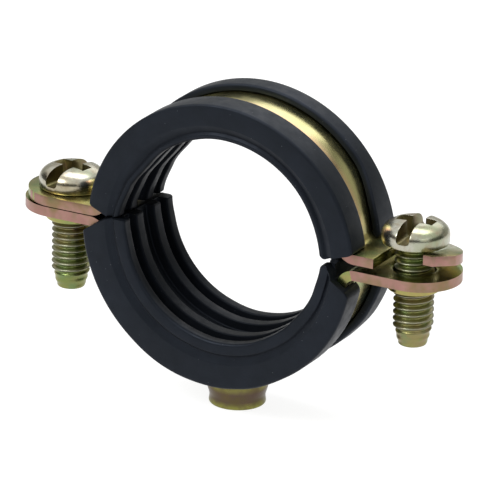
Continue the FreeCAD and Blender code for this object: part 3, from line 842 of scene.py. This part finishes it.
def lining(name, side, centre_z, shift_y, crest_r, lip_r, ends, rounds, cuts, strays, tree):
    """Lining swept along its arc, strayed from it a little, each point run out to the end faces."""
    inside, lean, front_lip, back_lip, back_wall = strays
    outline = lining_outline(crest_r, lip_r, shift_y)
    count = len(outline)
    mesh = bpy.data.meshes.new(name)
    mesh.from_pydata([((r - crest_r) * MM, y * MM, 0) for r, y in outline],
                     [(k, (k + 1) % count) for k in range(count)], [])
    piece = bpy.data.objects.new(name, mesh)
    bpy.context.scene.collection.objects.link(piece)
    run_tree(piece, tree, {"Arc radius": crest_r * MM, "Start angle": 0.0, "Sweep angle": math.pi,
                           "Steps": LINING_STEPS, "Finish": LINING_RUBBER})
    for point in piece.data.vertices:
        x, z, y = point.co.x / MM, point.co.y / MM, -point.co.z / MM
        radius = math.hypot(x, z)
        share = math.atan2(x, z) / (math.pi / 2)
        index = 1 if share >= 0 else 0
        end = 2 * index - 1
        share = end * (1 - (1 - min(abs(share), 1.0)) ** 1.5)
        inner_depth = (INSIDE_STRAY_R - radius) / (INSIDE_STRAY_R - crest_r - RIB_HEIGHT)
        inner_share = min(max(inner_depth, 0.0), 1.0)
        outer_share = min(max(radius - LIP_STRAY_R, 0.0), 1.0)
        lip = eased(front_lip if y < 0 else back_lip, 90 * share)
        near_end = max(1 - (1 - abs(share)) * radius * math.pi / 2 / rounds[index], 0.0)
        rounding = rounds[index] * (1 - math.sqrt(1 - near_end ** 2))
        radius += inner_share * (eased(inside, 90 * share) + lean * y + rounding)
        radius += outer_share * (lip - rounding)
        if outer_share > 0 and 0 < y < BACK_WALL_LIMIT_Y:
            y -= eased(back_wall, 90 * share)
        reach = end_angle(side, radius, centre_z, ends[index], cuts[index])
        angle = share * reach
        point.co = (radius * math.sin(angle) * MM, y * MM,
                    (centre_z + side * radius * math.cos(angle)) * MM)
    return finish_mesh(piece)


def lower_lining(tree):
    """Lower lining, opened round the rod boss."""
    rubber = lining("lower_lining_rubber", -1, 0.0, LOWER_SHIFT_Y, LOWER_CREST_R, LOWER_LIP_R,
                    LOWER_ENDS, LOWER_END_ROUNDS, LOWER_CUTS,
                    (LOWER_INSIDE, LOWER_INSIDE_LEAN, LOWER_FRONT_LIP, LOWER_BACK_LIP, LOWER_BACK_WALL), tree)
    room_r = BOSS_TOP_R + BOSS_RUBBER_CLEARANCE
    rubber = cut(rubber, round_cutter("boss_room", room_r, 0, -30, 0.6 - BAND_OUTER_R))
    return finish_mesh(rubber)


def upper_lining(tree):
    """Upper lining."""
    return lining("upper_lining_rubber", 1, -UPPER_CENTRE_DROP, UPPER_SHIFT_Y, UPPER_CREST_R, UPPER_LIP_R,
                  UPPER_ENDS, UPPER_END_ROUNDS, UPPER_CUTS,
                  (UPPER_INSIDE, UPPER_INSIDE_LEAN, UPPER_FRONT_LIP, UPPER_BACK_LIP, UPPER_BACK_WALL), tree)


# Threads, screws and boss

def thread_tree():
    """Geometry nodes that raise a helical thread out of a turned blank, as deep as thread_depth says."""
    tree, given = open_tree("rolled_thread", "Blank", (
        ("Pitch", "Float"), ("Crest share", "Float"), ("Root share", "Float")))

    def calc(operation, first, second=0.0):
        return add_node(tree, "ShaderNodeMath", {0: first, 1: second}, operation=operation).outputs[0]

    place_of = add_node(tree, "ShaderNodeSeparateXYZ",
                        {0: add_node(tree, "GeometryNodeInputPosition").outputs[0]})
    turns = calc("DIVIDE", calc("ARCTAN2", place_of.outputs["Y"], place_of.outputs["X"]), TURN)
    climb = calc("DIVIDE", place_of.outputs["Z"], given["Pitch"])
    phase = calc("FRACT", calc("SUBTRACT", climb, turns))
    off_crest = calc("MULTIPLY", calc("ABSOLUTE", calc("SUBTRACT", phase, 0.5)), 2.0)
    root_start = calc("SUBTRACT", 1.0, given["Root share"])
    wave = add_node(tree, "ShaderNodeMapRange", {
        "Value": off_crest, "From Min": given["Crest share"], "From Max": root_start,
        "To Min": 1.0, "To Max": 0.0}, interpolation_type="LINEAR")
    depth = add_node(tree, "GeometryNodeInputNamedAttribute", {"Name": "thread_depth"}, data_type="FLOAT")
    rise = calc("MULTIPLY", wave.outputs["Result"], depth.outputs["Attribute"])
    flat = add_node(tree, "ShaderNodeCombineXYZ", {"X": place_of.outputs["X"], "Y": place_of.outputs["Y"]})
    outward = add_node(tree, "ShaderNodeVectorMath", {0: flat.outputs[0]}, operation="NORMALIZE")
    shift = add_node(tree, "ShaderNodeVectorMath", {0: outward.outputs[0], "Scale": rise}, operation="SCALE")
    moved = add_node(tree, "GeometryNodeSetPosition",
                     {"Geometry": given["Blank"], "Offset": shift.outputs[0]})
    return close_tree(tree, moved.outputs["Geometry"], given["Finish"])


def threaded(piece, depths, tree, finish):
    """Raises the thread on a turned blank; depths are in millimetres, one for each point."""
    attribute = piece.data.attributes.new("thread_depth", "FLOAT", "POINT")
    attribute.data.foreach_set("value", [depth * MM for depth in depths])
    run_tree(piece, tree, {"Pitch": THREAD_PITCH * MM, "Crest share": THREAD_CREST_SHARE,
                           "Root share": THREAD_ROOT_SHARE, "Finish": finish})
    return finish_mesh(piece, smooth_deg=75)


def screw_shank(tree):
    """Threaded shank hanging from z = 0, with a plain neck and a tapered tip."""
    tip_z, neck_z = -SCREW_LENGTH, -THREAD_NECK_LENGTH
    fine = THREAD_PITCH / 14
    tip_round = arc_points((THREAD_TIP[0][1] - TIP_ROUND, tip_z + TIP_ROUND), TIP_ROUND, -90, -18, 4)
    profile = [(0, tip_z)] + tip_round
    depths = [0.0] * (1 + len(tip_round) * TURNED_STEPS)
    z = tip_z + TIP_ROUND
    while z < neck_z:
        limit = eased(THREAD_TIP, z - tip_z)
        fade = min(max((neck_z - z) / THREAD_RUNOUT, 0.0), 1.0)
        root = THREAD_ROOT_R + (THREAD_NECK_R - THREAD_ROOT_R) * (1 - fade)
        root = min(root, limit - THREAD_TIP_DEPTH)
        profile.append((root, z))
        depths += [max(limit - root, 0.0) * fade] * TURNED_STEPS
        z += fine
    profile += [(THREAD_NECK_R, neck_z), (THREAD_NECK_R, -NECK_FLARE), (THREAD_NECK_R + NECK_FLARE, 0.0),
                (THREAD_NECK_R, NECK_SINK), (0, NECK_SINK)]
    depths += [0.0] * (4 * TURNED_STEPS + 1)
    points, faces = lathe(profile, TURNED_STEPS)
    return threaded(new_piece("shank", points, faces), depths, tree, THREAD_STEEL)


def cross_recess():
    """Tapered block that cuts the short arms of the cross recess."""
    over = 0.5
    grow = (CROSS_DEPTH + over) / CROSS_DEPTH
    foot_x, foot_y = CROSS_FOOT
    top_x = foot_x + (CROSS_ARM_LENGTH - foot_x) * grow
    top_y = foot_y + (SLOT_CUT_WIDTH / 2 - foot_y) * grow
    points = []
    for x, y, z in ((foot_x, foot_y, HEAD_HEIGHT - CROSS_DEPTH), (top_x, top_y, HEAD_HEIGHT + over)):
        points += [(-x, -y, z), (x, -y, z), (x, y, z), (-x, y, z)]
    faces = [(3, 2, 1, 0), (4, 5, 6, 7), (0, 1, 5, 4), (1, 2, 6, 5), (2, 3, 7, 6), (3, 0, 4, 7)]
    return finish_mesh(new_piece("cross", points, faces))


def screw_head():
    """Pan head on z = 0 with a through slot and a short cross."""
    crown_steps = 16
    crown_height = HEAD_HEIGHT - HEAD_CROWN_RISE - HEAD_SIDE_HEIGHT
    profile = [(0, 0.0), (HEAD_R - HEAD_FOOT_ROUND, 0.0),
               (HEAD_R - HEAD_FOOT_MIDDLE[0], HEAD_FOOT_MIDDLE[1]),
               (HEAD_R, HEAD_FOOT_ROUND), (HEAD_R, HEAD_SIDE_HEIGHT)]
    for k in range(1, crown_steps + 1):
        angle = math.radians(90 * k / crown_steps)
        profile.append((HEAD_FLAT_R + (HEAD_R - HEAD_FLAT_R) * math.cos(angle),
                        HEAD_SIDE_HEIGHT + crown_height * math.sin(angle)))
    profile += [(1.0, HEAD_HEIGHT - 0.01), (0, HEAD_HEIGHT)]
    points, faces = lathe(profile, TURNED_STEPS)
    head = finish_mesh(new_piece("head", points, faces))
    half = SLOT_CUT_WIDTH / 2
    floor_z = HEAD_HEIGHT - SLOT_CUT_DEPTH
    over_z = HEAD_HEIGHT + 1
    channel = rounded_outline([(-half, over_z, 0), (-half, floor_z, SLOT_CUT_ROUND),
                               (half, floor_z, SLOT_CUT_ROUND), (half, over_z, 0)])
    slot = prism("slot", channel, -7.0, 7.0)
    slot.data.transform(Matrix.Rotation(math.radians(90), 4, "X"))
    head = cut(head, slot)
    head = cut(head, cross_recess())
    head = finish_mesh(soften_edges(head, HEAD_EDGE_ROUND, segments=3, limit_deg=35))
    return paint_recess(head, half, floor_z)


def paint_recess(head, half, floor_z):
    """Gives the walls and floors of the slot and the cross their own finish."""
    head.data.materials.append(HEAD_STEEL)
    head.data.materials.append(RECESS_STEEL)
    near = 0.02
    for face in head.data.polygons:
        x, y, z = face.center / MM
        in_slot = abs(x) < half + near and floor_z - near < z
        in_cross = abs(y) < half + near and abs(x) < CROSS_ARM_LENGTH and 0.5 < z < HEAD_HEIGHT - 0.3
        face.material_index = 1 if in_slot or in_cross else 0
    return head


def screw(name, x, seat_z, turn, tree):
    """Whole clamping screw in its place."""
    piece = join(name, [screw_head(), screw_shank(tree)])
    return place(piece, x, seat_z, turn)


def rod_boss(tree):
    """Turned boss with its thread, seated on the lower band."""
    bottom = BOSS_BOTTOM_Z
    fine = THREAD_PITCH / 12
    corners = [
        (BOSS_TOP_R, BOSS_SEAT_Z, 0),
        (BOSS_TOP_R, bottom + BOSS_SHOULDER_HEIGHT, BOSS_SHOULDER_ROUND),
        (BOSS_WAIST_R, bottom + BOSS_WAIST_HEIGHT, BOSS_WAIST_ROUND),
        (BOSS_FOOT_R, bottom, BOSS_FOOT_ROUND),
        (BOSS_MOUTH_R, bottom, 0),
        (THREAD_MAJOR_R, bottom + BOSS_MOUTH_HEIGHT, 0),
    ]
    ring = [(r, z, 0.0) for r, z in rounded_outline(corners, 6)]
    z = bottom + BOSS_MOUTH_HEIGHT + fine
    while z < BOSS_SEAT_Z - 0.1:
        depth = min((z - bottom) / BOSS_THREAD_LEAD, 1.0) * (THREAD_MAJOR_R - BOSS_THREAD_MINOR_R)
        ring.append((THREAD_MAJOR_R, z, -depth))
        z += fine
    ring.append((THREAD_MAJOR_R, BOSS_SEAT_Z, 0.0))
    points, depths = [], []
    for radius, z, depth in ring:
        for k in range(TURNED_STEPS):
            angle = TURN * k / TURNED_STEPS
            x = radius * math.cos(angle)
            seat = -math.sqrt((BAND_OUTER_R - BOSS_BAND_OVERLAP) ** 2 - x ** 2)
            points.append((x, radius * math.sin(angle), min(z, seat) if z > -BAND_OUTER_R else z))
            depths.append(depth)
    piece = new_piece("rod_boss_steel", points, turned_faces(len(ring), TURNED_STEPS))
    return threaded(piece, depths, tree, BOSS_STEEL)


# The clamp

def dress(piece, body, node):
    """The piece stands for its solid and moves with that solid's body."""
    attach(piece, body)
    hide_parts(node)


SWEEP = sweep_tree()
THREAD = thread_tree()
dress(lower_band(), "lower_half", "lower_band")
dress(upper_band(), "upper_half", "upper_band")
dress(lower_lining(SWEEP), "lower_half", "lower_lining")
dress(upper_lining(SWEEP), "upper_half", "upper_lining")
dress(screw("left_screw_steel", -SCREW_HALF_SPACING, LEFT_SEAT_Z, LEFT_SLOT_TURN, THREAD),
      "left_screw", "left_screw")
dress(screw("right_screw_steel", SCREW_HALF_SPACING, RIGHT_SEAT_Z, RIGHT_SLOT_TURN, THREAD),
      "right_screw", "right_screw")
dress(rod_boss(THREAD), "lower_half", "rod_boss")


# Camera, floor and light

def photo_camera():
    """Camera at the photograph's angle."""
    level = Vector((math.cos(CAMERA_AZIMUTH), math.sin(CAMERA_AZIMUTH), 0))
    back = Vector((math.sin(CAMERA_AZIMUTH) * math.cos(CAMERA_ELEVATION),
                   -math.cos(CAMERA_AZIMUTH) * math.cos(CAMERA_ELEVATION), math.sin(CAMERA_ELEVATION)))
    upright = back.cross(level)
    right = math.cos(CAMERA_ROLL) * level + math.sin(CAMERA_ROLL) * upright
    up = -math.sin(CAMERA_ROLL) * level + math.cos(CAMERA_ROLL) * upright
    data = bpy.data.cameras.new("photo_camera")
    data.lens = FOCAL_PX / PICTURE_PX * SENSOR_WIDTH
    data.sensor_width = SENSOR_WIDTH
    data.shift_x = SHIFT_PX[0] / PICTURE_PX
    data.shift_y = SHIFT_PX[1] / PICTURE_PX
    data.clip_start = 0.05
    data.clip_end = 20
    camera = bpy.data.objects.new("photo_camera", data)
    pose = Matrix((right, up, back)).transposed().to_4x4()
    pose.translation = Vector((0, 0, CAMERA_TARGET_Z * MM)) + back * CAMERA_DISTANCE * MM
    camera.matrix_world = pose
    bpy.context.scene.collection.objects.link(camera)
    bpy.context.scene.camera = camera


def white_where_seen(tree, strength):
    """Surface or background that looks white to the camera, to gloss and through glass."""
    seen = add_node(tree, "ShaderNodeLightPath")
    either = add_node(tree, "ShaderNodeMath", {0: seen.outputs["Is Camera Ray"],
                                               1: seen.outputs["Is Glossy Ray"]}, operation="MAXIMUM")
    any_of = add_node(tree, "ShaderNodeMath", {0: either.outputs[0],
                                               1: seen.outputs["Is Transmission Ray"]}, operation="MAXIMUM")
    return add_node(tree, "ShaderNodeMath", {0: any_of.outputs[0], 1: strength}, operation="MULTIPLY")


def studio_floor():
    """Pale floor under the boss that keeps the clamp's shadow."""
    size = 3000.0
    z = BOSS_BOTTOM_Z - 0.02
    floor = new_piece("floor", [(-size, -size, z), (size, -size, z), (size, size, z), (-size, size, z)],
                      [(0, 1, 2, 3)])
    material, tree = empty_material("white_studio_floor")
    shader = add_node(tree, "ShaderNodeBsdfPrincipled", {"Base Color": colour("#8c8c8c"), "Roughness": 0.9})
    glow = white_where_seen(tree, 0.88)
    shader.inputs["Emission Color"].default_value = colour("#ffffff")
    tree.links.new(glow.outputs[0], shader.inputs["Emission Strength"])
    add_node(tree, "ShaderNodeOutputMaterial", {"Surface": shader.outputs["BSDF"]})
    floor.data.materials.append(material)


def studio_world():
    """White background where it is seen, and a soft grey light from all round."""
    world = bpy.data.worlds.new("studio")
    world.use_nodes = True
    tree = world.node_tree
    tree.nodes.clear()
    light = add_node(tree, "ShaderNodeBackground", {"Color": colour("#ffffff"), "Strength": 0.35})
    white = add_node(tree, "ShaderNodeBackground", {"Color": colour("#ffffff"), "Strength": 1.0})
    seen = white_where_seen(tree, 1.0)
    both = add_node(tree, "ShaderNodeMixShader",
                    {0: seen.outputs[0], 1: light.outputs[0], 2: white.outputs[0]})
    add_node(tree, "ShaderNodeOutputWorld", {"Surface": both.outputs[0]})
    bpy.context.scene.world = world


def softbox(name, place_mm, size_mm, watts):
    """Area light aimed at the clamp's middle."""
    data = bpy.data.lights.new(name, "AREA")
    data.shape = "RECTANGLE"
    data.size, data.size_y = size_mm[0] * MM, size_mm[1] * MM
    data.energy = watts
    lamp = bpy.data.objects.new(name, data)
    where = Vector(place_mm) * MM
    lamp.location = where
    lamp.rotation_euler = (-where).to_track_quat("-Z", "Y").to_euler()
    bpy.context.scene.collection.objects.link(lamp)


def gloss_card(name, radius, from_deg, to_deg, low, high, shade, strength):
    """Curved card round the clamp that only gloss sees, for contrast in the metal."""
    steps = 24
    points = []
    for x, y in arc_points((0, 0), radius, from_deg, to_deg, steps):
        points += [(x, y, low), (x, y, high)]
    faces = [(2 * k, 2 * k + 2, 2 * k + 3, 2 * k + 1) for k in range(steps)]
    card = new_piece(name, points, faces)
    material, tree = empty_material(name + "_glow")
    glow = add_node(tree, "ShaderNodeEmission", {"Color": colour(shade), "Strength": strength})
    add_node(tree, "ShaderNodeOutputMaterial", {"Surface": glow.outputs[0]})
    card.data.materials.append(material)
    card.visible_camera = False
    card.visible_diffuse = False
    card.visible_shadow = False
    card.visible_transmission = False


photo_camera()
studio_floor()
studio_world()
gloss_card("dark_round", 1600, -200, 100, -20, 900, "#4a4a46", 1.0)
gloss_card("grey_back", 1500, 40, 160, -20, 640, "#b0b0a8", 1.0)
gloss_card("bright_back", 1500, 80, 116, 640, 1250, "#ffffff", 2.2)
softbox("key", (-250, -450, 500), (350, 250), 2.6)
softbox("fill", (500, -300, 250), (300, 300), 0.3)
softbox("top", (0, 150, 600), (500, 300), 1.8)
bpy.context.scene.view_settings.view_transform = "Standard"
